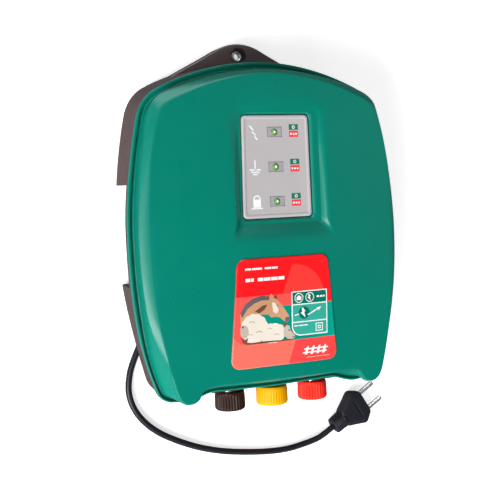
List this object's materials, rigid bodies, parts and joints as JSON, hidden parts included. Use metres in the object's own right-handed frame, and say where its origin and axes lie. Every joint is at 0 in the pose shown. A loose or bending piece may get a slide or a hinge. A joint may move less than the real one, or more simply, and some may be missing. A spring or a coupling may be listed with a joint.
{
  "type": "mains fence energizer",
  "caption": "Wall-hung mains fence energizer: domed cover over a deep housing, inset status panel, coloured screw terminals below, hanger tab above, corded plug.",
  "frame": {"origin": "middle of the case's footprint on its back plane, cord and plug left out", "axes": "+X to the right seen from the front, +Y up the case to the hanger tab, +Z out of the front cover"},
  "size_m": [0.2801, 0.4033, 0.1022],
  "materials": {
    "green_cover": "moulded, satin gloss",
    "brown_housing": "moulded, fine grain",
    "panel_grey": "printed, satin",
    "window_grey": "smoked",
    "label_film": "printed film",
    "black_rubber": "matt",
    "black_resin": "moulded",
    "zinc_steel": "zinc plated",
    "brass": "turned",
    "led_green": "clear tinted",
    "circuit_board": "solder mask",
    "capacitor_can": "sleeved",
    "aluminium": "extruded",
    "lamination": "stacked sheet",
    "winding": "enamelled copper wire",
    "nylon_white": "moulded",
    "fuse_glass": "clear",
    "cord_black": "satin PVC",
    "plug_black": "satin PVC",
    "knob_brown": "moulded",
    "knob_yellow": "moulded",
    "knob_red": "moulded"
  },
  "bodies": {
    "case": {"front_cover": "green_cover", "rear_housing": "brown_housing", "case_gasket": "black_rubber", "hanger_eyelet": "zinc_steel", "led_panel": "panel_grey", "label_plate": "label_film", "led_board": "circuit_board", "main_board": "circuit_board", "transformer_core": "lamination", "transformer_coil": "winding", "thyristor": "black_resin", "heat_sink": "aluminium", "fuse_holder": "black_resin", "mains_fuse": "fuse_glass", "mains_terminal_block": "nylon_white", "cable_gland": "cord_black", "mains_cord": "cord_black", "plug_body": "plug_black", "plug_sleeve": "plug_black", "plug_pin_1": "zinc_steel", "plug_pin_2": "zinc_steel", "led_window_1": "window_grey", "led_1": "led_green", "led_window_2": "window_grey", "led_2": "led_green", "led_window_3": "window_grey", "led_3": "led_green", "case_screw_1": "zinc_steel", "board_screw_1": "zinc_steel", "case_screw_2": "zinc_steel", "board_screw_2": "zinc_steel", "case_screw_3": "zinc_steel", "board_screw_3": "zinc_steel", "case_screw_4": "zinc_steel", "board_screw_4": "zinc_steel", "storage_capacitor_1": "capacitor_can", "storage_capacitor_2": "capacitor_can", "terminal_stud_brown": "zinc_steel", "terminal_bush_brown": "black_rubber", "stud_nut_brown": "zinc_steel", "terminal_stud_yellow": "zinc_steel", "terminal_bush_yellow": "black_rubber", "stud_nut_yellow": "zinc_steel", "terminal_stud_red": "zinc_steel", "terminal_bush_red": "black_rubber", "stud_nut_red": "zinc_steel"},
    "washer_brown": {"clamp_washer_brown": "zinc_steel"},
    "knob_brown": {"knob_brown": "knob_brown", "knob_insert_brown": "brass"},
    "washer_yellow": {"clamp_washer_yellow": "zinc_steel"},
    "knob_yellow": {"knob_yellow": "knob_yellow", "knob_insert_yellow": "brass"},
    "washer_red": {"clamp_washer_red": "zinc_steel"},
    "knob_red": {"knob_red": "knob_red", "knob_insert_red": "brass"}
  },
  "joints": [
    {"name": "washer_slide_brown", "type": "slide", "parent": "case", "child": "washer_brown", "axis": [0, -1, 0], "range_m": [0, 0.005]},
    {"name": "knob_turn_brown", "type": "hinge", "parent": "washer_brown", "child": "knob_brown", "pos_m": [-0.0362, -0.1531, 0.049], "axis": [0, -1, 0], "range_deg": [0, 1440]},
    {"name": "washer_slide_yellow", "type": "slide", "parent": "case", "child": "washer_yellow", "axis": [0, -1, 0], "range_m": [0, 0.005]},
    {"name": "knob_turn_yellow", "type": "hinge", "parent": "washer_yellow", "child": "knob_yellow", "pos_m": [0.0068, -0.1531, 0.049], "axis": [0, -1, 0], "range_deg": [0, 1440]},
    {"name": "washer_slide_red", "type": "slide", "parent": "case", "child": "washer_red", "axis": [0, -1, 0], "range_m": [0, 0.005]},
    {"name": "knob_turn_red", "type": "hinge", "parent": "washer_red", "child": "knob_red", "pos_m": [0.0498, -0.1531, 0.049], "axis": [0, -1, 0], "range_deg": [0, 1440]}
  ],
  "couplings": [
    {"joint": "knob_turn_brown", "follows": "washer_slide_brown", "rad_per_m": 5026.5},
    {"joint": "knob_turn_yellow", "follows": "washer_slide_yellow", "rad_per_m": 5026.5},
    {"joint": "knob_turn_red", "follows": "washer_slide_red", "rad_per_m": 5026.5}
  ]
}
